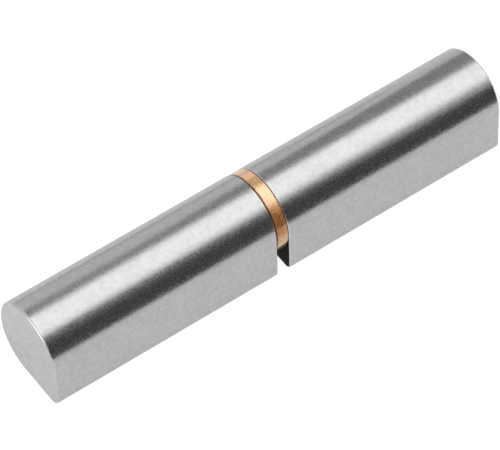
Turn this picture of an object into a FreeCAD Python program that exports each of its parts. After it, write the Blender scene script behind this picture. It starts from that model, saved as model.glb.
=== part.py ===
import FreeCAD, Part
import math
import os

import Sketcher

# Weld-on barrel hinge, lying closed on the bottom flats of its two leaves.
# Millimetres and degrees. +X runs along the hinge axis from the lift-off leaf to the pin leaf, +Z is up.
# The origin is on the surface that the hinge lies on, below the middle of the ring.
# Both leaves are cut from one drawn drop section: a round barrel whose two flats leave it at
# tangents and meet in a nose, the edge that is welded to the gate or the post.

SIZES = {
    "barrel_diameter": 13.0,     # round side of the drop section
    "nose_angle": 81.0,          # between the two flats
    "nose_radius": 0.9,          # rounding of the drawn nose
    "pin_leaf_length": 39.0,
    "lift_off_leaf_length": 39.0,
    "outer_end_chamfer": 0.35,   # round the outline of each solid end
    "inner_end_chamfer": 0.12,   # round the outline of each bored end
    "ring_diameter": 12.9,
    "ring_thickness": 2.0,
    "ring_edge_chamfer": 0.12,
    "ring_seat_gap": 0.02,       # ring to pin leaf, on which it is seated
    "lift_gap": 0.12,            # ring to lift-off leaf, the play left along the pin
    "pin_diameter": 8.0,
    "pin_grip": 27.0,            # how deep the pin is pressed into its own leaf
    "pin_reach": 27.0,           # how far it stands into the lift-off leaf
    "pin_lead_length": 1.5,      # lead-in cone on both ends of the pin
    "pin_lead_depth": 0.6,
    "ring_bore_clearance": 0.1,  # radial, on the pin
    "running_clearance": 0.05,   # radial, of the lift-off leaf on the pin
    "bore_end_room": 1.5,        # straight bore left beyond each end of the pin
    "bore_mouth_chamfer": 0.5,
    "bore_mouth_angle": 90.0,    # full angle of the chamfered mouth
    "drill_point_angle": 118.0,
}

START, END, CENTRE = 1, 2, 3     # a sketch line's or arc's own points
ORIGIN = (-1, START)             # the sketch's origin
FULL_TURN = 360.0                # degrees
SAME_PLACE = 1e-6                # two positions this close count as one
LEAST_BORE_VOLUME = 1.0          # a bore that takes away less than this cut nothing

doc = FreeCAD.newDocument("weld_on_barrel_hinge")


def make_sheet():
    """The driving dimensions, one to a row, each with its name as alias."""
    sheet = doc.addObject("Spreadsheet::Sheet", "sizes")
    for row, (name, value) in enumerate(SIZES.items(), start=1):
        sheet.set(f"A{row}", name)
        sheet.set(f"B{row}", str(value))
        sheet.setAlias(f"B{row}", name)
    doc.recompute()
    return sheet


sheet = make_sheet()


def size(name):
    """A driving dimension as the sheet holds it."""
    return float(sheet.get(name))


def make_body(name):
    """A sub-part whose own origin is on the hinge axis, raised by half the barrel's diameter."""
    body = doc.addObject("PartDesign::Body", name)
    body.Label = name
    body.setExpression("Placement.Base.z", "sizes.barrel_diameter / 2")
    return body


def make_sketch(body, name, role):
    """An empty sketch on one of the body's own origin planes."""
    plane = next(f for f in body.Origin.OriginFeatures if f.Role == role)
    sketch = body.newObject("Sketcher::SketchObject", name)
    sketch.AttachmentSupport = [(plane, "")]
    sketch.MapMode = "FlatFace"
    return sketch


def drive(sketch, name, constraint, expression):
    """Adds a dimension to a sketch and ties it to the sheet."""
    index = sketch.addConstraint(constraint)
    sketch.renameConstraint(index, name)
    sketch.setExpression(f"Constraints.{name}", expression)


def face_square_to_axis(feature, x):
    """Name of the feature's flat face that lies square to the hinge axis at x."""
    for number, face in enumerate(feature.Shape.Faces, start=1):
        box = face.BoundBox
        if box.XLength < SAME_PLACE and abs(box.XMin - x) < SAME_PLACE:
            return f"Face{number}"
    raise RuntimeError(f"{feature.Name} has no face square to the axis at {x}")


def chamfer_outline(body, name, base, x, expression):
    """A chamfer all round the face that lies square to the hinge axis at x."""
    doc.recompute()
    chamfer = body.newObject("PartDesign::Chamfer", name)
    chamfer.Base = (base, [face_square_to_axis(base, x)])
    chamfer.setExpression("Size", expression)
    return chamfer


def draw_drop_section(body, name):
    """The drop section about the hinge axis, with its nose towards -Y and one flat straight down.

    The barrel arc runs from the bottom tangent point round the back and over the top to the front
    tangent point. From there the front flat, the nose arc and the bottom flat close the outline.
    """
    radius = size("barrel_diameter") / 2
    nose_radius = size("nose_radius")
    nose_angle = math.radians(size("nose_angle"))
    bottom = -math.pi / 2
    front = math.pi / 2 + nose_angle

    def around(centre, distance, angle):
        return centre + FreeCAD.Vector(distance * math.cos(angle), distance * math.sin(angle), 0)

    axis = FreeCAD.Vector(0, 0, 0)
    towards_nose = bottom - (math.pi - nose_angle) / 2
    nose_centre = around(axis, (radius - nose_radius) / math.sin(nose_angle / 2), towards_nose)
    up = FreeCAD.Vector(0, 0, 1)

    sketch = make_sketch(body, name, "YZ_Plane")
    barrel = sketch.addGeometry(Part.ArcOfCircle(Part.Circle(axis, up, radius), bottom, front))
    front_flat = sketch.addGeometry(
        Part.LineSegment(around(axis, radius, front), around(nose_centre, nose_radius, front)))
    nose = sketch.addGeometry(
        Part.ArcOfCircle(Part.Circle(nose_centre, up, nose_radius), front, bottom + 2 * math.pi))
    bottom_flat = sketch.addGeometry(
        Part.LineSegment(around(nose_centre, nose_radius, bottom), around(axis, radius, bottom)))

    sketch.addConstraint(Sketcher.Constraint("Coincident", barrel, CENTRE, *ORIGIN))
    outline = [barrel, front_flat, nose, bottom_flat]
    for this, following in zip(outline, outline[1:] + outline[:1]):
        sketch.addConstraint(Sketcher.Constraint("Tangent", this, END, following, START))
    sketch.addConstraint(Sketcher.Constraint("Horizontal", bottom_flat))
    drive(sketch, "barrel_diameter", Sketcher.Constraint("Diameter", barrel, 2 * radius),
          "sizes.barrel_diameter")
    drive(sketch, "nose_radius", Sketcher.Constraint("Radius", nose, nose_radius),
          "sizes.nose_radius")
    drive(sketch, "nose_angle",
          Sketcher.Constraint("Angle", bottom_flat, START, front_flat, END, nose_angle),
          "sizes.nose_angle")
    return sketch


def draw_circle(sketch, name, diameter, expression):
    """A circle about the hinge axis."""
    origin = FreeCAD.Vector(0, 0, 0)
    circle = sketch.addGeometry(Part.Circle(origin, FreeCAD.Vector(0, 0, 1), diameter / 2))
    sketch.addConstraint(Sketcher.Constraint("Coincident", circle, CENTRE, *ORIGIN))
    drive(sketch, name, Sketcher.Constraint("Diameter", circle, diameter), expression)


def make_leaf(name, length_name, side, bore_diameter, bore_depth):
    """One leaf: the drop section cut to length, its ends chamfered, with a blind bore from the inner end.

    Its own origin is where the hinge axis meets the inner end face. It reaches towards +X where
    side is 1 and towards -X where side is -1.
    """
    body = make_body(name)
    section = draw_drop_section(body, f"{name}_section")
    bar = body.newObject("PartDesign::Pad", f"{name}_bar")
    bar.Profile = section
    bar.Reversed = side < 0
    bar.setExpression("Length", f"sizes.{length_name}")

    outer = chamfer_outline(body, f"{name}_outer_chamfer", bar, side * size(length_name),
                            "sizes.outer_end_chamfer")
    inner = chamfer_outline(body, f"{name}_inner_chamfer", outer, 0.0, "sizes.inner_end_chamfer")
    doc.recompute()
    solid_volume = inner.Shape.Volume

    mouth = make_sketch(body, f"{name}_bore_centre", "YZ_Plane")
    draw_circle(mouth, "bore_diameter", size("pin_diameter"), bore_diameter)
    doc.recompute()
    bore = body.newObject("PartDesign::Hole", f"{name}_bore")
    bore.Profile = mouth
    bore.ThreadType = "None"
    bore.DepthType = "Dimension"
    bore.DrillPoint = "Angled"
    bore.DrillForDepth = False
    bore.HoleCutType = "Countersink"
    bore.Reversed = side > 0
    bore.setExpression("Diameter", bore_diameter)
    bore.setExpression("Depth", bore_depth)
    bore.setExpression("DrillPointAngle", "sizes.drill_point_angle")
    bore.setExpression("HoleCutCountersinkAngle", "sizes.bore_mouth_angle")
    bore.setExpression("HoleCutDiameter", f"{bore_diameter} + 2 * sizes.bore_mouth_chamfer")
    doc.recompute()
    if bore.Shape.Volume > solid_volume - LEAST_BORE_VOLUME:
        raise RuntimeError(f"the bore of {name} cut nothing")
    return body


def make_pin_leaf():
    """The leaf that holds the pin. Its bore is the pin's own size, for the press fit."""
    body = make_leaf("pin_leaf", "pin_leaf_length", 1, "sizes.pin_diameter",
                     "sizes.pin_grip + sizes.bore_end_room")
    body.setExpression("Placement.Base.x", "sizes.ring_thickness / 2 + sizes.ring_seat_gap")
    return body


def make_lift_off_leaf():
    """The leaf that turns on the pin and lifts off it, bored with running clearance."""
    body = make_leaf("lift_off_leaf", "lift_off_leaf_length", -1,
                     "sizes.pin_diameter + 2 * sizes.running_clearance",
                     "sizes.pin_reach + sizes.bore_end_room")
    body.setExpression("Placement.Base.x", "-sizes.ring_thickness / 2 - sizes.lift_gap")
    return body


def make_thrust_ring():
    """The ring between the leaves, centred on its own origin, with its four edges broken."""
    body = make_body("thrust_ring")
    section = make_sketch(body, "thrust_ring_section", "YZ_Plane")
    draw_circle(section, "outer_diameter", size("ring_diameter"), "sizes.ring_diameter")
    draw_circle(section, "bore_diameter", size("pin_diameter") + 2 * size("ring_bore_clearance"),
                "sizes.pin_diameter + 2 * sizes.ring_bore_clearance")
    washer = body.newObject("PartDesign::Pad", "thrust_ring_washer")
    washer.Profile = section
    washer.Midplane = True
    washer.setExpression("Length", "sizes.ring_thickness")
    half = size("ring_thickness") / 2
    one_side = chamfer_outline(body, "thrust_ring_edges_near", washer, -half,
                               "sizes.ring_edge_chamfer")
    chamfer_outline(body, "thrust_ring_edges_far", one_side, half, "sizes.ring_edge_chamfer")
    return body


def sketch_line(sketch, first, last):
    """A straight line in a sketch, as its number there."""
    return sketch.addGeometry(Part.LineSegment(first, last))


def make_hinge_pin():
    """The pin, turned with a lead-in cone on both ends. Its own origin is the middle of its free tip."""
    grip_to_tip = ("pin_grip", "ring_seat_gap", "ring_thickness", "lift_gap", "pin_reach")
    body = make_body("hinge_pin")
    profile = make_sketch(body, "hinge_pin_profile", "XY_Plane")
    radius = size("pin_diameter") / 2
    lead = size("pin_lead_length")
    tip_radius = radius - size("pin_lead_depth")
    length = sum(size(stretch) for stretch in grip_to_tip)
    corners = [(0, 0), (length, 0), (length, tip_radius), (length - lead, radius),
               (lead, radius), (0, tip_radius)]
    points = [FreeCAD.Vector(x, y, 0) for x, y in corners]
    sides = [sketch_line(profile, a, b) for a, b in zip(points, points[1:] + points[:1])]
    for this, following in zip(sides, sides[1:] + sides[:1]):
        profile.addConstraint(Sketcher.Constraint("Coincident", this, END, following, START))
    centre_line, grip_end, grip_lead, shank, tip_lead, tip_end = sides
    profile.addConstraint(Sketcher.Constraint("Coincident", centre_line, START, *ORIGIN))
    for line in (centre_line, shank):
        profile.addConstraint(Sketcher.Constraint("Horizontal", line))
    for line in (grip_end, tip_end):
        profile.addConstraint(Sketcher.Constraint("Vertical", line))
    drive(profile, "length",
          Sketcher.Constraint("DistanceX", centre_line, START, centre_line, END, length),
          " + ".join(f"sizes.{stretch}" for stretch in grip_to_tip))
    drive(profile, "radius",
          Sketcher.Constraint("DistanceY", centre_line, START, shank, END, radius),
          "sizes.pin_diameter / 2")
    drive(profile, "tip_lead",
          Sketcher.Constraint("DistanceX", tip_lead, END, tip_lead, START, lead),
          "sizes.pin_lead_length")
    drive(profile, "grip_lead",
          Sketcher.Constraint("DistanceX", grip_lead, END, grip_lead, START, lead),
          "sizes.pin_lead_length")
    drive(profile, "tip_radius",
          Sketcher.Constraint("DistanceY", tip_end, END, tip_end, START, tip_radius),
          "sizes.pin_diameter / 2 - sizes.pin_lead_depth")
    drive(profile, "grip_radius",
          Sketcher.Constraint("DistanceY", grip_end, START, grip_end, END, tip_radius),
          "sizes.pin_diameter / 2 - sizes.pin_lead_depth")
    turned = body.newObject("PartDesign::Revolution", "hinge_pin_turned")
    turned.Profile = profile
    turned.ReferenceAxis = (profile, ["H_Axis"])
    turned.Angle = FULL_TURN
    body.setExpression("Placement.Base.x", "-sizes.ring_thickness / 2 - sizes.lift_gap - sizes.pin_reach")
    return body


def check(bodies):
    """Stops on a failed feature, or on a sub-part that isn't one valid solid."""
    for item in doc.Objects:
        if "Invalid" in item.State or "Error" in item.State:
            raise RuntimeError(f"{item.Name} failed: {item.State}")
    for body in bodies:
        shape = body.Shape
        if shape.isNull() or not shape.isValid() or len(shape.Solids) != 1:
            raise RuntimeError(f"{body.Label} isn't one valid solid")


bodies = [make_pin_leaf(), make_hinge_pin(), make_thrust_ring(), make_lift_off_leaf()]
doc.recompute()
check(bodies)
os.makedirs("parts", exist_ok=True)
for body in bodies:
    body.Shape.exportStep(os.path.join("parts", f"{body.Label}.step"))
    box = body.Shape.BoundBox
    print(f"{body.Label}: {body.Shape.Volume:.1f} mm3,",
          f"x {box.XMin:.3f} to {box.XMax:.3f}, y {box.YMin:.3f} to {box.YMax:.3f},",
          f"z {box.ZMin:.3f} to {box.ZMax:.3f}")
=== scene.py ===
"""The looks of a weld-on barrel hinge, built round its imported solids.

Two leaves of drawn drop-section steel lie in line on their bottom flats, with a turned brass ring
between them and a steel pin hidden inside. Metres throughout, +X along the hinge axis, +Z up.
"""
import logging
import math
from dataclasses import dataclass
from enum import Enum

import bpy
import numpy as np
from mathutils import Matrix, Vector


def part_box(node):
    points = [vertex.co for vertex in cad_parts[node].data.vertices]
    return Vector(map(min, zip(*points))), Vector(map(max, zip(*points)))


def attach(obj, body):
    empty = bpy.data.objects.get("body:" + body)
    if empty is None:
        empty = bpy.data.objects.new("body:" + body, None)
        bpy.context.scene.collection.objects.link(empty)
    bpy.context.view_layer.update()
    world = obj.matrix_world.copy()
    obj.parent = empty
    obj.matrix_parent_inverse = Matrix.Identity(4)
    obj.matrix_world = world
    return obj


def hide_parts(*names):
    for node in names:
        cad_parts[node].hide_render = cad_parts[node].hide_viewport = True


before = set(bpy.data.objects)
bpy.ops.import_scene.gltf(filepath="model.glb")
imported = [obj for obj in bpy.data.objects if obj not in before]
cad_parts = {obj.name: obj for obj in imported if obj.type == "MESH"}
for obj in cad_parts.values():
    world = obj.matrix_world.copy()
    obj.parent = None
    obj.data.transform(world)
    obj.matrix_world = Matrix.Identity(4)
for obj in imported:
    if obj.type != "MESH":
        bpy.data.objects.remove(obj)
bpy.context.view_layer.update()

log = logging.getLogger("weld_on_barrel_hinge")

Colour = tuple[float, float, float, float]
Span = tuple[float, float]
Output = bpy.types.NodeSocket
Outputs = bpy.types.bpy_prop_collection

MM = 0.001
WHITE: Colour = (1.0, 1.0, 1.0, 1.0)
MIRRORED = np.array([-1.0, 1.0, 1.0])

# Noise stays near 0.5. Each of these fades in as the noise goes from the first value to the second.
PATCHES: Span = (0.3, 0.7)
WAVES: Span = (0.2, 0.8)
SPECKS: Span = (0.25, 0.75)
GAP_SHADE_PATCHES: Span = (0.1, 0.9)
LINES: Span = (0.53, 0.60)
FINE_LINES: Span = (0.50, 0.56)


class Node(Enum):
    """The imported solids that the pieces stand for."""

    PIN_LEAF = "pin_leaf"
    LIFT_OFF_LEAF = "lift_off_leaf"
    THRUST_RING = "thrust_ring"
    HINGE_PIN = "hinge_pin"


class Body(Enum):
    """The bodies that the pieces ride on."""

    FIXED_HALF = "fixed_half"
    RING = "ring"
    TURNING_HALF = "turning_half"


class Slot(Enum):
    """The record's material slots."""

    LEAF_STEEL = "leaf_steel"
    PIN_STEEL = "pin_steel"
    RING_BRASS = "ring_brass"


class Mark(Enum):
    """Point attributes that tell a material which part of a surface it is on, from 0 to 1."""

    EDGE = "edge"
    END_FACE = "end_face"
    INNER_FACE = "inner_face"
    BORED = "bored"


def box_of(node: Node) -> tuple[Vector, Vector]:
    """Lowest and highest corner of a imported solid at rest.

    Args:
        node: The solid.

    Returns:
        Its two corners, in metres.
    """
    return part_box(node.value)


def barrel_radius() -> float:
    """Radius of the leaves' round side: half the height that they stand, since they lie on a flat."""
    low, high = box_of(Node.PIN_LEAF)
    return (high.z - low.z) / 2


def mesh_from_rings(
    name: str, rings: np.ndarray, marks: dict[Mark, np.ndarray], poles: np.ndarray | None = None,
) -> bpy.types.Object:
    """A closed surface from rings of points, each ring joined to the next by quads.

    Point (i, j) of the grid is joined to (i + 1, j + 1), with j running round and wrapping. Each end is
    closed on a pole, and where there are no poles the last ring is joined to the first one.

    Args:
        name: The piece's name.
        rings: Points, shaped (rings, points in a ring, 3).
        marks: For each mark, its value on each ring.
        poles: The two points that the first and the last ring close on.

    Returns:
        The new object, with its place in its mesh.
    """
    count, around, _ = rings.shape
    points = rings.reshape(-1, 3)
    here = np.arange(count * around).reshape(count, around)
    beside = np.roll(here, -1, axis=1)
    faces = np.stack([here[:-1], beside[:-1], beside[1:], here[1:]], axis=-1).reshape(-1, 4).tolist()
    values = {mark: np.repeat(value, around) for mark, value in marks.items()}
    if poles is None:
        faces += np.stack([here[-1], beside[-1], beside[0], here[0]], axis=-1).tolist()
    else:
        pole = np.full(around, len(points))
        faces += np.stack([pole, beside[0], here[0]], axis=-1).tolist()
        faces += np.stack([pole + 1, here[-1], beside[-1]], axis=-1).tolist()
        points = np.vstack([points, poles])
        values = {mark: np.append(v, [marks[mark][0], marks[mark][-1]]) for mark, v in values.items()}
    mesh = bpy.data.meshes.new(name)
    mesh.from_pydata(points, [], faces)
    mesh.update()
    mesh.polygons.foreach_set("use_smooth", np.ones(len(faces), dtype=bool))
    for mark, value in values.items():
        layer = mesh.attributes.new(mark.value, "FLOAT", "POINT")
        layer.data.foreach_set("value", value.astype(np.float32))
    piece = bpy.data.objects.new(name, mesh)
    bpy.context.scene.collection.objects.link(piece)
    return piece


@dataclass(frozen=True)
class BrokenEdge:
    """A broken edge between two faces at right angles.

    Attributes:
        size: How far it reaches along each face.
        steps: How many points it has.
        roundness: 0 for a straight chamfer, 1 for a quarter circle.
    """

    size: float
    steps: int
    roundness: float

    def points(self) -> np.ndarray:
        """The edge's points, from the first face to the second.

        The point at t runs along the straight chamfer, (1 - t, t) times the size, moved outwards by the
        roundness as a share of the way to the quarter circle that touches both faces,
        (1 - sin(90 t), 1 - cos(90 t)) times the size.

        Returns:
            Points shaped (steps, 2): how far below the second face, and how far back from the first one.
        """
        t = np.linspace(0.0, 1.0, self.steps)
        straight = np.stack([1 - t, t], axis=-1)
        quarter = np.stack([1 - np.sin(t * math.pi / 2), 1 - np.cos(t * math.pi / 2)], axis=-1)
        return self.size * (straight + self.roundness * (quarter - straight))


@dataclass(frozen=True)
class DropSection:
    """The drawn section of both leaves: a barrel with two flats that leave it at tangents and meet in a nose.

    Attributes:
        radius: Radius of the barrel.
        nose_angle: Angle between the two flats, in degrees.
        nose_radius: Radius of the rounded nose.
        barrel_points: Points on the barrel's arc.
        flat_points: Points on each flat.
        nose_points: Points on the nose's arc.
    """

    radius: float
    nose_angle: float = 81.0
    nose_radius: float = 0.9 * MM
    barrel_points: int = 240
    flat_points: int = 28
    nose_points: int = 32

    def outline(self, inset: float = 0.0) -> np.ndarray:
        """The section's outline, or one that runs inside it at an even distance.

        Both arcs keep their centres and lose the inset from their radius. The barrel's arc starts at the
        bottom and runs round the back and over the top to where the front flat leaves it.

        Args:
            inset: How far inside the section the outline runs.

        Returns:
            Points (y, z) about the hinge axis, in order and not closed.
        """
        bottom = -math.pi / 2
        front = math.pi / 2 + math.radians(self.nose_angle)
        half = math.radians(self.nose_angle) / 2
        towards_nose = bottom - (math.pi / 2 - half)
        reach = (self.radius - self.nose_radius) / math.sin(half)
        nose_centre = reach * np.array([math.cos(towards_nose), math.sin(towards_nose)])
        barrel = self.arc(np.zeros(2), self.radius - inset, bottom, front, self.barrel_points)
        nose = self.arc(nose_centre, self.nose_radius - inset, front, bottom + 2 * math.pi, self.nose_points)
        share = np.linspace(0.0, 1.0, self.flat_points + 2)[1:-1, None]
        front_flat = barrel[-1] + share * (nose[0] - barrel[-1])
        bottom_flat = nose[-1] + share * (barrel[0] - nose[-1])
        return np.vstack([barrel, front_flat, nose, bottom_flat])

    @staticmethod
    def arc(centre: np.ndarray, radius: float, start: float, end: float, count: int) -> np.ndarray:
        """Points evenly spaced on an arc.

        Args:
            centre: The arc's centre (y, z).
            radius: Its radius.
            start: Angle of its first point, in radians.
            end: Angle of its last point.
            count: How many points.

        Returns:
            The points, shaped (count, 2).
        """
        angle = np.linspace(start, end, count)
        return centre + radius * np.stack([np.cos(angle), np.sin(angle)], axis=-1)


@dataclass
class Leaf:
    """One leaf: the drop section cut to length, with a solid outer end and a blind bore in its inner end.

    Attributes:
        node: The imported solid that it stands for.
        body: The body that it rides on.
        bore_radius: Radius of the bore.
        bore_depth: Depth of its straight wall.
        drill_angle: Full angle of the drilled cone at the bottom, in degrees.
        outer_edge: Broken edge round the solid end.
        inner_edge: Broken edge round the bored end.
        mouth_edge: Chamfer at the bore's mouth.
        edge_line: How far beyond a broken edge its wear is still marked in full.
        edge_reach: How far beyond it the mark has faded out.
        bar_stations: Rings along the bar.
        end_shares: Rings on the solid end, as shares of its rim.
        face_shares: Rings on the bored end, as shares of the way from its rim to the bore's mouth.
        bore_shares: Rings down the bore, as shares of its straight wall.
        cone_shares: Rings down the drilled cone, as shares of it.
    """

    node: Node
    body: Body
    bore_radius: float = 4.0 * MM
    bore_depth: float = 28.5 * MM
    drill_angle: float = 118.0
    outer_edge: BrokenEdge = BrokenEdge(0.35 * MM, 7, 0.35)
    inner_edge: BrokenEdge = BrokenEdge(0.12 * MM, 7, 0.35)
    mouth_edge: BrokenEdge = BrokenEdge(0.5 * MM, 5, 0.1)
    edge_line: float = 0.02 * MM
    edge_reach: float = 0.3 * MM
    bar_stations: int = 24
    end_shares: tuple[float, ...] = (0.04, 0.2, 0.4, 0.6, 0.8, 0.93)
    face_shares: tuple[float, ...] = (0.01, 0.15, 0.4, 0.7, 0.97)
    bore_shares: tuple[float, ...] = (0.02, 0.25, 0.5, 0.75, 0.995)
    cone_shares: tuple[float, ...] = (0.0, 0.02, 0.5, 0.9)

    def build(self, finish: "SteelFinish") -> bpy.types.Object:
        """Builds the leaf's surface and dresses it.

        A station along the surface is a ring of points: the section's outline at some inset, scaled towards
        the axis and blended towards the bore's circle, at some distance from the inner end. The stations run
        from the middle of the solid end over its edge, along the bar, over the inner edge, in to the bore's
        mouth and down the bore to the drill's point.

        Args:
            finish: The leaf's finish.

        Returns:
            The finished piece.
        """
        low, high = box_of(self.node)
        towards_end = 1.0 if self.node is Node.PIN_LEAF else -1.0
        inner_x = low.x if towards_end > 0 else high.x
        length = high.x - low.x
        section = DropSection(radius=barrel_radius())
        full = section.outline()
        round_angle = np.arctan2(full[:, 1], full[:, 0])
        circle = np.stack([np.cos(round_angle), np.sin(round_angle)], axis=-1)
        outer, inner, chamfer = self.outer_edge.size, self.inner_edge.size, self.mouth_edge.size

        rings: list[np.ndarray] = []
        marks: dict[Mark, list[float]] = {mark: [] for mark in Mark}

        def station(outline: np.ndarray, back: float, **marked: float) -> None:
            """Adds a ring of points at a distance back from the inner end, with its marks."""
            x = np.full(len(outline), inner_x + towards_end * back)
            rings.append(np.column_stack([x, outline[:, 0], outline[:, 1] + section.radius]))
            for mark in Mark:
                marks[mark].append(marked.get(mark.value, 0.0))

        for share in self.end_shares:
            station(share * section.outline(outer), length, end_face=1.0)
        station(section.outline(outer + self.edge_line), length, edge=1.0, end_face=1.0)
        for inset, back in self.outer_edge.points():
            station(section.outline(inset), length - back, edge=1.0, end_face=0.5)
        station(full, length - outer - self.edge_line, edge=1.0)
        station(full, length - outer - self.edge_reach)
        for share in np.linspace(0.95, 0.05, self.bar_stations):
            station(full, length * share)
        station(full, inner + self.edge_reach)
        station(full, inner + self.edge_line, edge=1.0)
        for inset, back in self.inner_edge.points()[::-1]:
            station(section.outline(inset), back, edge=1.0, end_face=0.5)
        rim = section.outline(inner)
        mouth = (self.bore_radius + chamfer) * circle
        for share in self.face_shares:
            station(rim + share * (mouth - rim), 0.0, end_face=1.0, inner_face=1.0)
        for widening, back in self.mouth_edge.points():
            station((self.bore_radius + widening) * circle, back, edge=0.5, bored=1.0)
        for share in self.bore_shares:
            station(self.bore_radius * circle, chamfer + share * (self.bore_depth - chamfer), bored=1.0)
        cone = self.bore_radius / math.tan(math.radians(self.drill_angle) / 2)
        for share in self.cone_shares:
            station(self.bore_radius * (1 - share) * circle, self.bore_depth + share * cone, bored=1.0)
        poles = np.array([[inner_x + towards_end * back, 0.0, section.radius]
                          for back in (length, self.bore_depth + cone)])
        grid = np.stack(rings)
        if towards_end > 0:
            grid = grid[:, ::-1]
        marked = {mark: np.array(value) for mark, value in marks.items()}
        piece = mesh_from_rings(f"{self.node.value}_bar", grid, marked, poles)
        piece.data.materials.append(finish.material())
        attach(piece, self.body.value)
        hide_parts(self.node.value)
        return piece


def stretch(x: np.ndarray | float, radius: np.ndarray | float, worn: float) -> np.ndarray:
    """A stretch of a turned profile.

    Args:
        x: Place of each point along the axis, or of them all.
        radius: Radius at each point, or at them all.
        worn: The mark for an edge: worn steel on the pin, painted shade beside the leaves on the ring.

    Returns:
        A row (x, radius, worn) for each point.
    """
    return np.stack(np.broadcast_arrays(x, radius, worn), axis=-1).reshape(-1, 3)


def lathe(
    name: str, profile: np.ndarray, height: float, around: int = 288, capped: bool = False,
) -> bpy.types.Object:
    """A turned surface: a profile carried round the hinge axis.

    The point at (i, a) is the profile's point (x, r) at (x, r cos(a), r sin(a)) about the axis.

    Args:
        name: The piece's name.
        profile: Rows (x, radius, worn) in order, with the metal on the right of the way they run.
        height: The axis's height.
        around: Points in each ring.
        capped: Whether the profile's ends close on the axis. Otherwise it closes on itself.

    Returns:
        The new object.
    """
    angle = np.linspace(0.0, 2 * math.pi, around, endpoint=False)
    x = np.repeat(profile[:, :1], around, axis=1)
    y = profile[:, 1:2] * np.cos(angle)
    z = height + profile[:, 1:2] * np.sin(angle)
    rings = np.stack([x, y, z], axis=-1)
    poles = np.array([[end, 0.0, height] for end in profile[[0, -1], 0]])
    return mesh_from_rings(name, rings, {Mark.EDGE: profile[:, 2]}, poles if capped else None)


@dataclass
class ThrustRing:
    """The brass ring between the leaves: a turned washer with lightly broken edges.

    Attributes:
        bore_radius: Radius of its bore.
        rim_edge: Broken edge at its rim.
        bore_edge: Broken edge at its bore.
        edge_line: How far beyond a broken edge its painted shade beside the leaves is still marked in full.
        edge_reach: How far beyond it the mark has faded out.
    """

    bore_radius: float = 4.1 * MM
    rim_edge: BrokenEdge = BrokenEdge(0.12 * MM, 6, 0.5)
    bore_edge: BrokenEdge = BrokenEdge(0.06 * MM, 4, 0.5)
    edge_line: float = 0.01 * MM
    edge_reach: float = 0.1 * MM

    def build(self, finish: "BrassFinish") -> bpy.types.Object:
        """Builds the ring and dresses it.

        The profile runs along the rim towards +X, down the side, back through the bore and up the other
        side, with an eased chamfer at each corner.

        Args:
            finish: The ring's finish.

        Returns:
            The finished piece.
        """
        low, high = box_of(Node.THRUST_RING)
        radius = (high.z - low.z) / 2
        half = (high.x - low.x) / 2
        middle = (high.x + low.x) / 2
        shoulder = half - self.rim_edge.size
        face = radius - self.rim_edge.size
        drop, rim_back = self.rim_edge.points()[::-1].T
        rise, bore_back = self.bore_edge.points().T
        rim = stretch(np.linspace(-1.0, 1.0, 9) * (shoulder - self.edge_reach), radius, 0.0)
        side = np.vstack([
            stretch(shoulder - self.edge_line, radius, 1.0),
            stretch(half - rim_back, radius - drop, 1.0),
            stretch(half, face - self.edge_line, 1.0),
            stretch(half, face - self.edge_reach, 0.0),
            stretch(half, self.bore_radius + np.linspace(0.8, 0.2, 4) * (face - self.bore_radius), 0.0),
            stretch(half - bore_back, self.bore_radius + rise, 1.0),
            stretch(half - self.bore_edge.size - self.edge_reach, self.bore_radius, 0.0),
        ])
        profile = np.vstack([rim, side, side[::-1] * MIRRORED]) + np.array([middle, 0.0, 0.0])
        piece = lathe("thrust_ring_turned", profile, barrel_radius())
        piece.data.materials.append(finish.material())
        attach(piece, Body.RING.value)
        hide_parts(Node.THRUST_RING.value)
        return piece


@dataclass
class HingePin:
    """The ground pin: pressed into one leaf, with a lead cone at each tip.

    Attributes:
        lead_length: Length of each lead cone.
        lead_depth: How far each cone drops at its tip.
        lead_wear: How worn the corner between cone and shank is.
        tip_edge: Rounding where a cone meets its end face.
        around: Points round it.
    """

    lead_length: float = 1.5 * MM
    lead_depth: float = 0.6 * MM
    lead_wear: float = 0.6
    tip_edge: BrokenEdge = BrokenEdge(0.12 * MM, 6, 1.0)
    around: int = 192

    def build(self, finish: "PinFinish") -> bpy.types.Object:
        """Builds the pin and dresses it.

        The profile runs from the middle of one end face over its rim and cone, along the shank, and over
        the other cone to the middle of the other end face.

        Args:
            finish: The pin's finish.

        Returns:
            The finished piece.
        """
        low, high = box_of(Node.HINGE_PIN)
        radius = (high.z - low.z) / 2
        middle = (high.x + low.x) / 2
        half = (high.x - low.x) / 2
        rim = radius - self.lead_depth
        tip = self.tip_edge.size
        shank = half - self.lead_length
        drop, back = self.tip_edge.points().T
        cone = tip + np.array([0.1, 0.5, 0.97]) * (self.lead_length - tip)
        end = np.vstack([
            stretch(-half, np.array([0.05, 0.5, 0.9]) * (rim - tip), 0.0),
            stretch(-half + back, rim - drop, 1.0),
            stretch(-half + cone, rim + self.lead_depth * cone / self.lead_length, 0.0),
            stretch(-half + self.lead_length, radius, self.lead_wear),
            stretch(-half + self.lead_length + tip, radius, 0.0),
            stretch(-np.linspace(0.95, 0.0, 12) * shank, radius, 0.0),
        ])
        profile = np.vstack([end, end[:-1][::-1] * MIRRORED]) + np.array([middle, 0.0, 0.0])
        piece = lathe("hinge_pin_ground", profile, barrel_radius(), around=self.around, capped=True)
        piece.data.materials.append(finish.material())
        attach(piece, Body.FIXED_HALF.value)
        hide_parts(Node.HINGE_PIN.value)
        return piece


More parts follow.
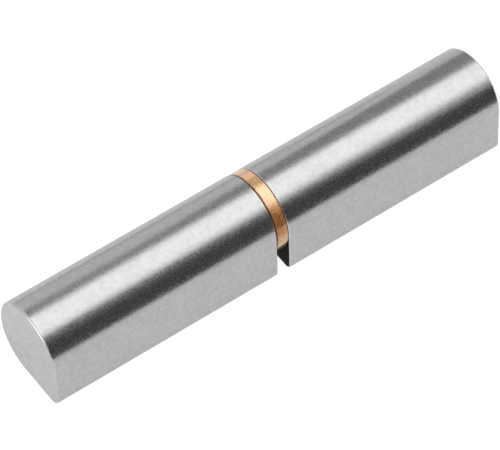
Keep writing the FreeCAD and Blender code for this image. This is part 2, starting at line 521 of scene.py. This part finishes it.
@dataclass(frozen=True)
class Sockets:
    """A node tree with short ways to add nodes to it.

    Attributes:
        tree: The tree.
    """

    tree: bpy.types.NodeTree

    def feed(self, node: bpy.types.Node, inputs: dict[str | int, object]) -> bpy.types.Node:
        """Joins outputs to a node's inputs, or sets the inputs to plain values.

        Args:
            node: The node.
            inputs: What each input gets, by its name or number.

        Returns:
            The node.
        """
        for key, value in inputs.items():
            if isinstance(value, Output):
                self.tree.links.new(value, node.inputs[key])
            else:
                node.inputs[key].default_value = value
        return node

    def add(self, kind: str, inputs: dict[str | int, object] | None = None, **settings: object) -> Outputs:
        """Adds a node of a kind.

        Args:
            kind: Blender's name for the node type.
            inputs: What each of its inputs gets, by name or number.
            settings: Properties to set on it.

        Returns:
            Its outputs.
        """
        node = self.tree.nodes.new(kind)
        for key, value in settings.items():
            setattr(node, key, value)
        return self.feed(node, inputs or {}).outputs

    def maths(self, operation: str, *values: object, clamp: bool = False) -> Output:
        """Adds a Math node.

        Args:
            operation: What it works out.
            values: Its inputs, as outputs of other nodes or numbers.
            clamp: Whether the result is kept from 0 to 1.

        Returns:
            Its result.
        """
        inputs = dict(enumerate(values))
        return self.add("ShaderNodeMath", inputs, operation=operation, use_clamp=clamp)["Value"]

    def ramp(self, value: Output, start: float, end: float, low: float = 0.0, high: float = 1.0) -> Output:
        """Eases from one value to another as an input goes from a start to an end.

        Args:
            value: The input.
            start: Where the ease starts.
            end: Where it ends.
            low: The result up to the start.
            high: The result from the end on.

        Returns:
            The eased value.
        """
        inputs = {"Value": value, "From Min": start, "From Max": end, "To Min": low, "To Max": high}
        return self.add("ShaderNodeMapRange", inputs, interpolation_type="SMOOTHSTEP")["Result"]

    def blend(self, share: Output, first: object, second: object) -> Output:
        """Mixes two colours.

        Args:
            share: 0 for the first, 1 for the second.
            first: A colour or an output.
            second: A colour or an output.

        Returns:
            The mixed colour.
        """
        inputs = {"Factor": share, "A": first, "B": second}
        return self.add("ShaderNodeMix", inputs, data_type="RGBA")["Result"]

    def noise(self, place: Output, scale: object, detail: float = 0.0, rough: float = 0.5) -> Output:
        """Adds a Noise texture.

        Args:
            place: Where it is read.
            scale: How many of its features a step of 1 there crosses.
            detail: How many finer layers it has.
            rough: How strong they are.

        Returns:
            Its value, about 0.5.
        """
        inputs = {"Vector": place, "Scale": scale, "Detail": detail, "Roughness": rough}
        return self.add("ShaderNodeTexNoise", inputs, noise_dimensions="3D")["Fac"]

    def bump(self, height: Output, depth: float, before: Output | None = None) -> Output:
        """Adds a Bump node.

        Args:
            height: The height from 0 to 1.
            depth: What a height of 1 stands for, in metres.
            before: A normal that it is added to.

        Returns:
            The bumped normal.
        """
        inputs = {"Strength": 1.0, "Distance": depth, "Height": height}
        if before is not None:
            inputs["Normal"] = before
        return self.add("ShaderNodeBump", inputs)["Normal"]

    def mark(self, mark: Mark) -> Output:
        """Reads one of the pieces' marks."""
        return self.add("ShaderNodeAttribute", attribute_name=mark.value)["Fac"]

    def place(self, space: str = "Object") -> Output:
        """Reads the place of the shaded point, or in the space "Generated" a world's direction."""
        return self.add("ShaderNodeTexCoord")[space]

    def split(self, vector: Output) -> Outputs:
        """Splits a vector into outputs named X, Y and Z."""
        return self.add("ShaderNodeSeparateXYZ", {"Vector": vector})

    def seen(self) -> Output:
        """Gives 1 where the camera sees the surface, straight or through something clear, or else 0."""
        path = self.add("ShaderNodeLightPath")
        return self.maths("MAXIMUM", path["Is Camera Ray"], path["Is Transmission Ray"])


class Effect(Enum):
    """Node groups that more than one finish uses."""

    FINE_GRAIN = "fine_grain"
    RAGGED_EDGES = "ragged_edges"
    TURNED_LINES = "turned_lines"


def new_group(
    effect: Effect, inputs: list[str], outputs: list[str],
) -> tuple[Sockets, Outputs, bpy.types.Node]:
    """Starts a node group with named sockets, all plain values.

    Args:
        effect: The effect that it holds.
        inputs: Names of its inputs.
        outputs: Names of its outputs.

    Returns:
        The group's tree, what it is given, and the node that takes what it makes.
    """
    tree = bpy.data.node_groups.new(effect.value, "ShaderNodeTree")
    for names, way in ((inputs, "INPUT"), (outputs, "OUTPUT")):
        for name in names:
            tree.interface.new_socket(name, in_out=way, socket_type="NodeSocketFloat")
    s = Sockets(tree)
    return s, s.add("NodeGroupInput"), tree.nodes.new("NodeGroupOutput")


def build_fine_grain() -> None:
    """Builds the grain: pits and specks at the scale given, wider waves, and broad patches of tone."""
    s, given, made = new_group(Effect.FINE_GRAIN, ["Scale"], ["Height", "Wave", "Speck", "Tone"])
    place = s.place()
    speck = s.noise(place, s.maths("MULTIPLY", given["Scale"], 1.2), detail=1.0)
    s.feed(made, {
        "Height": s.noise(place, given["Scale"]),
        "Wave": s.noise(place, scale=1300.0, detail=1.0),
        "Speck": s.ramp(speck, *SPECKS, low=-1.0, high=1.0),
        "Tone": s.noise(place, scale=260.0, detail=3.0, rough=0.6),
    })


def build_ragged_edges() -> None:
    """Builds a mask of the edges, whose border is the more ragged the greater its reach is. It marks worn
    edges on the steel and the pin, and painted shade beside the leaves on the ring.
    """
    s, given, made = new_group(Effect.RAGGED_EDGES, ["Reach"], ["Mask"])
    ragged = s.ramp(s.noise(s.place(), scale=1400.0, detail=3.0, rough=0.65), *PATCHES)
    worn = s.maths("MULTIPLY_ADD", ragged, given["Reach"], s.mark(Mark.EDGE))
    s.feed(made, {"Mask": s.maths("SUBTRACT", worn, given["Reach"], clamp=True)})


def build_turned_lines(axis_height: float) -> None:
    """Builds lines that run round the hinge axis.

    Noise is read at ((x + r) scale, y drift, z drift), with r the distance from the axis, so it changes fast
    along and across a turned surface and slowly round it. Streaks are the widest, fine lines the thinnest.

    Args:
        axis_height: Height of the hinge axis.
    """
    s, given, made = new_group(Effect.TURNED_LINES, ["Scale", "Drift"], ["Height", "Streak", "Line", "Fine"])
    parts = s.split(s.place())
    y = parts["Y"]
    z = s.maths("SUBTRACT", parts["Z"], axis_height)
    radius = s.maths("SQRT", s.maths("ADD", s.maths("POWER", y, 2.0), s.maths("POWER", z, 2.0)))
    turned = s.add("ShaderNodeCombineXYZ", {
        "X": s.maths("MULTIPLY", s.maths("ADD", parts["X"], radius), given["Scale"]),
        "Y": s.maths("MULTIPLY", y, given["Drift"]),
        "Z": s.maths("MULTIPLY", z, given["Drift"]),
    })["Vector"]
    wide = s.add("ShaderNodeVectorMath", {0: turned, 1: (1.3, 2.0, 2.0)}, operation="MULTIPLY")["Vector"]
    s.feed(made, {
        "Height": s.noise(turned, scale=1.0, detail=2.0, rough=0.6),
        "Streak": s.ramp(s.noise(wide, scale=1.0, detail=1.5), *PATCHES),
        "Line": s.ramp(s.noise(turned, scale=4.0), *LINES),
        "Fine": s.ramp(s.noise(turned, scale=9.0), *FINE_LINES),
    })


def place_effect(s: Sockets, effect: Effect, **values: float) -> Outputs:
    """Puts a shared effect into a material.

    Args:
        s: The material's tree.
        effect: The effect.
        values: Its inputs.

    Returns:
        Its outputs.
    """
    return s.add("ShaderNodeGroup", values, node_tree=bpy.data.node_groups[effect.value])


def new_material(name: str) -> tuple[bpy.types.Material, Sockets, bpy.types.Node]:
    """Starts a node material with a Principled shader.

    Args:
        name: The material's name.

    Returns:
        The material, its tree and its shader.
    """
    material = bpy.data.materials.new(name)
    material.use_nodes = True
    return material, Sockets(material.node_tree), material.node_tree.nodes["Principled BSDF"]


@dataclass(frozen=True)
class SteelFinish:
    """Bright drawn steel with a fine matt grain, cut ends and a drilled bore, with painted shade on the bored
    end's face, which faces the gap between the leaves.

    Attributes:
        slot: The record's material slot. It is not used.
        colour: The steel's colour.
        darker: Its colour in the grain's dull patches.
        cut_colour: Its colour on the cut ends.
        cut_dull: Its colour in their dull patches.
        bored_colour: Its colour inside the bore.
        gap_shade_colour: Painted shade: its colour on the inner face, near black like the gap between the
            leaves.
        gap_shade_shares: How strong that painted shade is in its lighter and darker patches.
        worn_colour: Its colour on worn edges.
        worn_share: How strong that is.
        wave_shares: How bright the waves make the grain, from their lowest to their highest.
        tone_share: How much brighter the light patches make it.
        speck_share: How much each speck brightens or darkens it.
        roughness: Its roughness.
        end_roughness: Roughness of the cut ends.
        inner_face_roughness: Roughness of the inner face.
        tone_roughness: How much smoother the light patches are than the dull ones.
        worn_roughness: How much smoother worn edges are.
        bored_roughness: How much rougher the bore is.
        grain_roughness: How far the grain moves the roughness up and down.
        grain_scale: Grains in a metre.
        grain_depth: Depth of the grain, in metres.
        wave_depth: Depth of the broad unevenness left by drawing, in metres.
        end_grain_depth: Depth that the grain gains on the cut ends, in metres.
        line_depth: Depth of the lines left by the drill, in metres.
        end_line_share: Depth of those on the cut ends, as a share of it.
    """

    slot: Slot = Slot.LEAF_STEEL
    colour: Colour = (0.68, 0.68, 0.683, 1.0)
    darker: Colour = (0.615, 0.615, 0.618, 1.0)
    cut_colour: Colour = (0.80, 0.80, 0.805, 1.0)
    cut_dull: Colour = (0.72, 0.72, 0.725, 1.0)
    bored_colour: Colour = (0.42, 0.415, 0.41, 1.0)
    gap_shade_colour: Colour = (0.022, 0.022, 0.021, 1.0)
    gap_shade_shares: Span = (0.86, 1.0)
    worn_colour: Colour = (0.82, 0.82, 0.82, 1.0)
    worn_share: float = 0.5
    wave_shares: Span = (-0.5, 1.1)
    tone_share: float = 0.4
    speck_share: float = 0.55
    roughness: float = 0.235
    end_roughness: float = 0.33
    inner_face_roughness: float = 0.75
    tone_roughness: float = 0.03
    worn_roughness: float = 0.06
    bored_roughness: float = 0.08
    grain_roughness: float = 0.05
    grain_scale: float = 2500.0
    grain_depth: float = 2.8e-6
    wave_depth: float = 6.2e-6
    end_grain_depth: float = 5.0e-6
    line_depth: float = 1.5e-6
    end_line_share: float = 0.3

    def material(self) -> bpy.types.Material:
        """Makes the material, or gives the one that was made before.

        Returns:
            The material.
        """
        made = bpy.data.materials.get("drawn_steel")
        if made is not None:
            return made
        made, s, shader = new_material("drawn_steel")
        grain = place_effect(s, Effect.FINE_GRAIN, Scale=self.grain_scale)
        edge_mask = place_effect(s, Effect.RAGGED_EDGES, Reach=0.5)["Mask"]
        lines = place_effect(s, Effect.TURNED_LINES, Scale=9000.0, Drift=300.0)
        end_face, inner_face, bored = (s.mark(mark) for mark in (Mark.END_FACE, Mark.INNER_FACE, Mark.BORED))

        tone = s.ramp(grain["Tone"], *PATCHES)
        waves = s.ramp(grain["Wave"], *WAVES, *self.wave_shares)
        mottle = s.maths("MULTIPLY_ADD", tone, self.tone_share, waves)
        mottle = s.maths("MULTIPLY_ADD", grain["Speck"], self.speck_share, mottle, clamp=True)
        colour = s.blend(mottle, self.darker, self.colour)
        colour = s.blend(s.maths("MULTIPLY", edge_mask, self.worn_share), colour, self.worn_colour)
        colour = s.blend(end_face, colour, s.blend(mottle, self.cut_dull, self.cut_colour))
        colour = s.blend(bored, colour, self.bored_colour)
        # Painted shade: the bored end's face, which faces the gap between the leaves, is painted near black
        # in lighter and darker patches.
        gap_shade = s.maths("MULTIPLY", inner_face, s.ramp(grain["Tone"], *GAP_SHADE_PATCHES, *self.gap_shade_shares))
        colour = s.blend(gap_shade, colour, self.gap_shade_colour)

        rough = s.maths("MULTIPLY_ADD", tone, -self.tone_roughness, self.roughness + self.tone_roughness / 2)
        rough = s.maths("MULTIPLY_ADD", grain["Speck"], self.grain_roughness, rough)
        rough = s.maths("MULTIPLY_ADD", end_face, self.end_roughness - self.roughness, rough)
        rough = s.maths("MULTIPLY_ADD", edge_mask, -self.worn_roughness, rough)
        rough = s.maths("MULTIPLY_ADD", inner_face, self.inner_face_roughness - self.end_roughness, rough)
        rough = s.maths("MULTIPLY_ADD", bored, self.bored_roughness, rough)

        lined = s.maths("MAXIMUM", bored, s.maths("MULTIPLY", end_face, self.end_line_share))
        normal = s.bump(grain["Wave"], self.wave_depth)
        normal = s.bump(grain["Height"], self.grain_depth, normal)
        normal = s.bump(s.maths("MULTIPLY", grain["Wave"], end_face), self.end_grain_depth, normal)
        normal = s.bump(s.maths("MULTIPLY", lines["Height"], lined), self.line_depth, normal)
        s.feed(shader, {"Base Color": colour, "Roughness": rough, "Normal": normal, "Metallic": 1.0})
        return made


@dataclass(frozen=True)
class PinFinish:
    """Ground steel: smoother and a little darker than the leaves, with fine lines round it.

    Attributes:
        slot: The record's material slot. It is not used.
        colour: The steel's colour.
        darker: Its colour along the grinding lines.
        worn_colour: Its colour on worn edges.
        worn_share: How strong that is.
        roughness: Its roughness.
        line_roughness: How much rougher the grinding lines are.
        line_depth: Their depth, in metres.
    """

    slot: Slot = Slot.PIN_STEEL
    colour: Colour = (0.62, 0.62, 0.63, 1.0)
    darker: Colour = (0.52, 0.52, 0.53, 1.0)
    worn_colour: Colour = (0.8, 0.8, 0.8, 1.0)
    worn_share: float = 0.6
    roughness: float = 0.24
    line_roughness: float = 0.07
    line_depth: float = 0.8e-6

    def material(self) -> bpy.types.Material:
        """Makes the material.

        Returns:
            The material.
        """
        made, s, shader = new_material("ground_steel")
        lines = place_effect(s, Effect.TURNED_LINES, Scale=8000.0, Drift=120.0)
        edge_mask = place_effect(s, Effect.RAGGED_EDGES, Reach=0.4)["Mask"]
        colour = s.blend(lines["Streak"], self.colour, self.darker)
        s.feed(shader, {
            "Base Color": s.blend(s.maths("MULTIPLY", edge_mask, self.worn_share), colour, self.worn_colour),
            "Roughness": s.maths("MULTIPLY_ADD", lines["Streak"], self.line_roughness, self.roughness),
            "Normal": s.bump(lines["Height"], self.line_depth),
            "Metallic": 1.0,
        })
        return made


@dataclass(frozen=True)
class BrassFinish:
    """Turned brass: bright lines round it, with warm tarnish in the turning grooves, painted shade at its
    edges beside the leaves, and more painted shade on the side that faces the front and a little upwards.

    Attributes:
        slot: The record's material slot. It is not used.
        bright: The cut metal's colour.
        tarnished: Its colour in the grooves.
        painted_shade_brown: Painted shade: its colour on the side that faces the front and a little upwards.
        gap_shade_colour: Painted shade: its colour at its edges, beside the leaves.
        gap_shade_share: How strong that painted shade is.
        roughness: Its roughness.
        groove_roughness: How much rougher the grooves are.
        clean_metallic: How metallic the cut metal is.
        groove_film: How much less metallic the tarnish makes it.
        line_depth: Depth of the turning lines, in metres.
        grain_depth: Depth of the metal's grain, in metres.
        lacquer_ior: Refractive index of the thin lacquer over it.
        painted_shade_side: Which way round the ring its painted shade faces, in degrees from +Y towards +Z.
        painted_shade_reach: Cosines of the angles from there at which the painted shade starts and is full.
        painted_shade_share: How strong the painted shade is.
        lined_reach: Cosines of the angles from there at which painted shade on the turned lines starts and is
            darkest.
        line_shares: How tarnished the turned lines are away from there, and how dark they are there with
            painted shade.
        brown_line_share: How much the broad streaks there are painted brown as shade.
        tarnish: How tarnished it is all over.
        streak_share: How much more tarnished the broad streaks are.
        fine_share: How much more tarnished the finest lines are.
        speck_share: How much each speck adds to the tarnish or takes from it.
    """

    slot: Slot = Slot.RING_BRASS
    bright: Colour = (0.95, 0.76, 0.52, 1.0)
    tarnished: Colour = (1.0, 0.33, 0.0, 1.0)
    painted_shade_brown: Colour = (0.45, 0.13, 0.0, 1.0)
    gap_shade_colour: Colour = (0.06, 0.04, 0.025, 1.0)
    gap_shade_share: float = 0.9
    roughness: float = 0.14
    groove_roughness: float = 0.1
    clean_metallic: float = 0.99
    groove_film: float = 0.90
    line_depth: float = 4.5e-6
    grain_depth: float = 1.0e-6
    lacquer_ior: float = 1.6
    painted_shade_side: float = 149.5
    painted_shade_reach: Span = (0.925, 0.98)
    painted_shade_share: float = 0.48
    lined_reach: Span = (0.80, 0.97)
    line_shares: Span = (0.08, 0.60)
    brown_line_share: float = 0.45
    tarnish: float = 0.09
    streak_share: float = 0.12
    fine_share: float = 0.45
    speck_share: float = 0.08

    def material(self) -> bpy.types.Material:
        """Makes the material.

        Returns:
            The material.
        """
        made, s, shader = new_material("turned_brass")
        lines = place_effect(s, Effect.TURNED_LINES, Scale=5000.0, Drift=60.0)
        edge_mask = place_effect(s, Effect.RAGGED_EDGES, Reach=0.5)["Mask"]
        grain = place_effect(s, Effect.FINE_GRAIN, Scale=5000.0)
        # Painted shade: on the side that faces the front and a little upwards, the turned lines are painted
        # darker and the streaks browner.
        facing = self.facing_painted_shade(s)
        line_share = s.ramp(facing, *self.lined_reach, *self.line_shares)
        groove = s.maths("MULTIPLY_ADD", lines["Streak"], self.streak_share, self.tarnish)
        groove = s.maths("MULTIPLY_ADD", lines["Fine"], self.fine_share, groove)
        groove = s.maths("MULTIPLY_ADD", lines["Line"], line_share, groove)
        groove = s.maths("MULTIPLY_ADD", grain["Speck"], self.speck_share, groove, clamp=True)
        colour = s.blend(groove, self.bright, self.tarnished)
        # Painted shade: browner streaks and a broad brown band on that side.
        lined = s.ramp(facing, *self.lined_reach, high=self.brown_line_share)
        brown = s.maths("MULTIPLY", lined, lines["Streak"])
        painted_shade_side = s.ramp(facing, *self.painted_shade_reach)
        brown = s.maths("MULTIPLY_ADD", painted_shade_side, self.painted_shade_share, brown, clamp=True)
        colour = s.blend(brown, colour, self.painted_shade_brown)
        normal = s.bump(lines["Height"], self.line_depth)
        # Painted shade: the ring's edges beside the leaves are painted near black.
        s.feed(shader, {
            "Base Color": s.blend(s.maths("MULTIPLY", edge_mask, self.gap_shade_share), colour, self.gap_shade_colour),
            "Metallic": s.maths("MULTIPLY_ADD", groove, -self.groove_film, self.clean_metallic),
            "Roughness": s.maths("MULTIPLY_ADD", groove, self.groove_roughness, self.roughness),
            "Normal": s.bump(grain["Height"], self.grain_depth, normal),
            "Coat Weight": 1.0, "Coat IOR": self.lacquer_ior, "Coat Roughness": self.roughness,
        })
        return made

    def facing_painted_shade(self, s: Sockets) -> Output:
        """Tells how near a place on the ring's outside is to the middle of its painted shade.

        Args:
            s: The material's tree.

        Returns:
            The cosine of the angle between the two about the hinge axis.
        """
        parts = s.split(s.place())
        towards = math.radians(self.painted_shade_side)
        raised = s.maths("SUBTRACT", parts["Z"], barrel_radius())
        facing = s.maths("MULTIPLY", raised, math.sin(towards) / barrel_radius())
        return s.maths("MULTIPLY_ADD", parts["Y"], math.cos(towards) / barrel_radius(), facing)


@dataclass
class Studio:
    """A white table top under a broad soft light, with cards that only the metal mirrors.

    Attributes:
        floor_half: Half the width of the table top.
        floor_gap: How far the table top lies below the hinge, so that the two faces don't coincide.
        floor_tone: The table top's grey.
        floor_lift: Light added where the camera sees the table top, so that it shows white.
        floor_mirrored: Light added where metal mirrors the table top.
        softbox_height: Height of the soft light.
        softbox_length: Its length along the hinge.
        softbox_width: Its width.
        softbox_power: Its power, in watts.
        wall_tone: How bright the room's walls are.
        gap_tone: How bright the gap between the walls and the bright ceiling is.
        wall_top: Sines of the elevations between which the walls turn into the gap.
        ceiling_tone: How bright the ceiling is.
        back_edge: Elevations between which the ceiling fades at the back, in degrees.
        front_edge: Elevations between which it fades at the front.
        side_edge: Elevations between which it fades towards either end of the hinge.
        horizon: Sine of the lowest elevation that is told apart from the horizon.
        card_fade: Share of a card's height from which its tone changes towards its top.
    """

    floor_half: float = 1.5
    floor_gap: float = 0.02 * MM
    floor_tone: float = 0.26
    floor_lift: float = 0.88
    floor_mirrored: float = 0.42
    softbox_height: float = 0.11
    softbox_length: float = 0.22
    softbox_width: float = 0.09
    softbox_power: float = 0.062
    wall_tone: float = 0.61
    gap_tone: float = 0.30
    wall_top: Span = (0.50, 0.66)
    ceiling_tone: float = 1.27
    back_edge: Span = (73.0, 57.0)
    front_edge: Span = (72.5, 47.0)
    side_edge: Span = (50.0, 25.0)
    horizon: float = 0.001
    card_fade: float = 0.45

    def build(self) -> None:
        """Builds the table top, the world, the soft light and the cards."""
        self.floor()
        self.world()
        self.softbox()
        front, back, rail, side = -0.047, 0.12, 0.09, -0.15
        self.card("front_flag", (0.05, 0.22), [
            (-0.10, front, 0.0036), (0.20, front, 0.0036), (0.20, front, 0.048),
            (0.05, front, 0.050), (0.015, front, 0.072), (-0.10, front, 0.074)])
        self.card("back_flag", (0.26, 0.26), [
            (0.055, back, 0.086), (0.0975, back, 0.042), (0.25, back, 0.04),
            (0.25, back, 0.185), (0.055, back, 0.185)])
        self.card("back_rail", (0.36, 0.36), [
            (-0.10, rail, 0.0005), (0.07, rail, 0.0005), (0.07, rail, 0.0115), (-0.10, rail, 0.0115)])
        self.card("side_strip", (1.8, 1.8), [
            (side, -0.03, 0.005), (side, 0.055, 0.005), (side, 0.055, 0.045), (side, -0.03, 0.045)])

    def floor(self) -> bpy.types.Object:
        """Builds the table top.

        Returns:
            The table top.
        """
        half = self.floor_half
        mesh = bpy.data.meshes.new("table_top")
        corners = [(-half, -half), (half, -half), (half, half), (-half, half)]
        mesh.from_pydata([(x, y, -self.floor_gap) for x, y in corners], [], [(0, 1, 2, 3)])
        top = bpy.data.objects.new("table_top", mesh)
        bpy.context.scene.collection.objects.link(top)
        material, s, shader = new_material("table_top")
        mirrored = s.add("ShaderNodeLightPath")["Is Glossy Ray"]
        lift = s.maths("MULTIPLY", s.seen(), self.floor_lift)
        s.feed(shader, {
            "Base Color": (self.floor_tone,) * 3 + (1.0,), "Roughness": 1.0, "Specular IOR Level": 0.0,
            "Emission Color": WHITE,
            "Emission Strength": s.maths("MULTIPLY_ADD", mirrored, self.floor_mirrored, lift),
        })
        material.cycles.emission_sampling = "NONE"
        mesh.materials.append(material)
        return top

    def world(self) -> None:
        """Makes the world white for the camera and softly graded by direction for the rest."""
        world = bpy.data.worlds.new("studio")
        bpy.context.scene.world = world
        world.use_nodes = True
        s = Sockets(world.node_tree)
        parts = s.split(s.place("Generated"))
        above = s.maths("MAXIMUM", parts["Z"], self.horizon)
        backwards = s.maths("DIVIDE", parts["Y"], above)
        forwards = s.maths("MULTIPLY", backwards, -1.0)
        sideways = s.maths("DIVIDE", s.maths("ABSOLUTE", parts["X"]), above)
        ceiling = 1.0
        for outwards, (full, gone) in (
            (backwards, self.back_edge), (forwards, self.front_edge), (sideways, self.side_edge),
        ):
            faded = s.ramp(outwards, self.slope(full), self.slope(gone))
            ceiling = s.maths("MULTIPLY", ceiling, s.maths("SUBTRACT", 1.0, faded))
        wall = s.ramp(parts["Z"], *self.wall_top, self.wall_tone, self.gap_tone)
        tone = s.maths("MULTIPLY_ADD", ceiling, s.maths("SUBTRACT", self.ceiling_tone, wall), wall)
        strength = s.maths("MULTIPLY_ADD", s.maths("SUBTRACT", 1.0, tone), s.seen(), tone)
        s.feed(world.node_tree.nodes["Background"], {"Color": WHITE, "Strength": strength})

    @staticmethod
    def slope(elevation: float) -> float:
        """Steps outwards for each step up, at an elevation in degrees."""
        return 1 / math.tan(math.radians(elevation))

    def softbox(self) -> None:
        """Hangs the soft light over the hinge, where metal doesn't mirror it."""
        light = bpy.data.lights.new("softbox", "AREA")
        light.shape = "RECTANGLE"
        light.size = self.softbox_length
        light.size_y = self.softbox_width
        light.energy = self.softbox_power
        lamp = bpy.data.objects.new("softbox", light)
        lamp.location = (0.0, 0.0, self.softbox_height)
        lamp.visible_camera = False
        lamp.visible_glossy = False
        bpy.context.scene.collection.objects.link(lamp)

    def card(self, name: str, tones: Span, corners: list[tuple[float, float, float]]) -> bpy.types.Object:
        """Stands up a card that only mirrored rays see.

        Args:
            name: The card's name.
            tones: How bright it looks in its lower part and at its top.
            corners: Its corners.

        Returns:
            The card.
        """
        mesh = bpy.data.meshes.new(name)
        mesh.from_pydata(corners, [], [tuple(range(len(corners)))])
        card = bpy.data.objects.new(name, mesh)
        bpy.context.scene.collection.objects.link(card)
        material, s, shader = new_material(name)
        top = max(corner[2] for corner in corners)
        s.feed(shader, {
            "Base Color": (0.0, 0.0, 0.0, 1.0), "Specular IOR Level": 0.0, "Emission Color": WHITE,
            "Emission Strength": s.ramp(s.split(s.place())["Z"], self.card_fade * top, top, *tones),
        })
        mesh.materials.append(material)
        card.visible_camera = False
        card.visible_diffuse = False
        card.visible_shadow = False
        card.visible_transmission = False
        return card


@dataclass
class Camera:
    """The photograph's camera, placed by its view of the hinge.

    Attributes:
        azimuth: Which side it stands on, in degrees: 0 looks along +Y.
        elevation: How far above the horizon it stands, in degrees.
        roll: How far it is turned anticlockwise about its own axis, in degrees.
        distance: How far it stands from the middle of the hinge axis.
        aside: How far its own axis passes to the right of that point.
        above: How far its own axis passes above that point.
        lens: Focal length for a 36 mm wide sensor, in millimetres.
    """

    azimuth: float = -42.645
    elevation: float = 54.334
    roll: float = 6.765
    distance: float = 573.888 * MM
    aside: float = -0.8105 * MM
    above: float = -1.8894 * MM
    lens: float = 288.964

    def build(self) -> bpy.types.Object:
        """Builds the camera and makes it the scene's.

        Returns:
            The camera.
        """
        turn, rise, roll = (math.radians(a) for a in (self.azimuth, self.elevation, self.roll))
        back = Vector((math.sin(turn) * math.cos(rise), -math.cos(turn) * math.cos(rise), math.sin(rise)))
        level = Vector((math.cos(turn), math.sin(turn), 0.0))
        upright = back.cross(level)
        right = math.cos(roll) * level + math.sin(roll) * upright
        up = -math.sin(roll) * level + math.cos(roll) * upright
        middle = Vector((0.0, 0.0, barrel_radius()))
        place = middle + self.aside * right + self.above * up + self.distance * back
        data = bpy.data.cameras.new("camera")
        data.lens = self.lens
        data.sensor_width = 36.0
        data.clip_start = 0.01
        data.clip_end = 20.0
        camera = bpy.data.objects.new("camera", data)
        camera.matrix_world = Matrix.Translation(place) @ Matrix((right, up, back)).transposed().to_4x4()
        bpy.context.scene.collection.objects.link(camera)
        bpy.context.scene.camera = camera
        return camera


def main() -> None:
    """Builds the camera, the studio and the four pieces, and writes how large the model is."""
    logging.basicConfig(level=logging.INFO, format="%(message)s")
    bpy.context.scene.view_settings.view_transform = "Standard"
    Camera().build()
    Studio().build()
    build_fine_grain()
    build_ragged_edges()
    build_turned_lines(barrel_radius())
    steel = SteelFinish()
    built = [
        Leaf(Node.PIN_LEAF, Body.FIXED_HALF).build(steel),
        Leaf(Node.LIFT_OFF_LEAF, Body.TURNING_HALF, bore_radius=4.05 * MM).build(steel),
        ThrustRing().build(BrassFinish()),
        HingePin().build(PinFinish()),
    ]
    for piece in built:
        log.info("%s: %d faces", piece.name, len(piece.data.polygons))


if __name__ == "__main__":
    main()
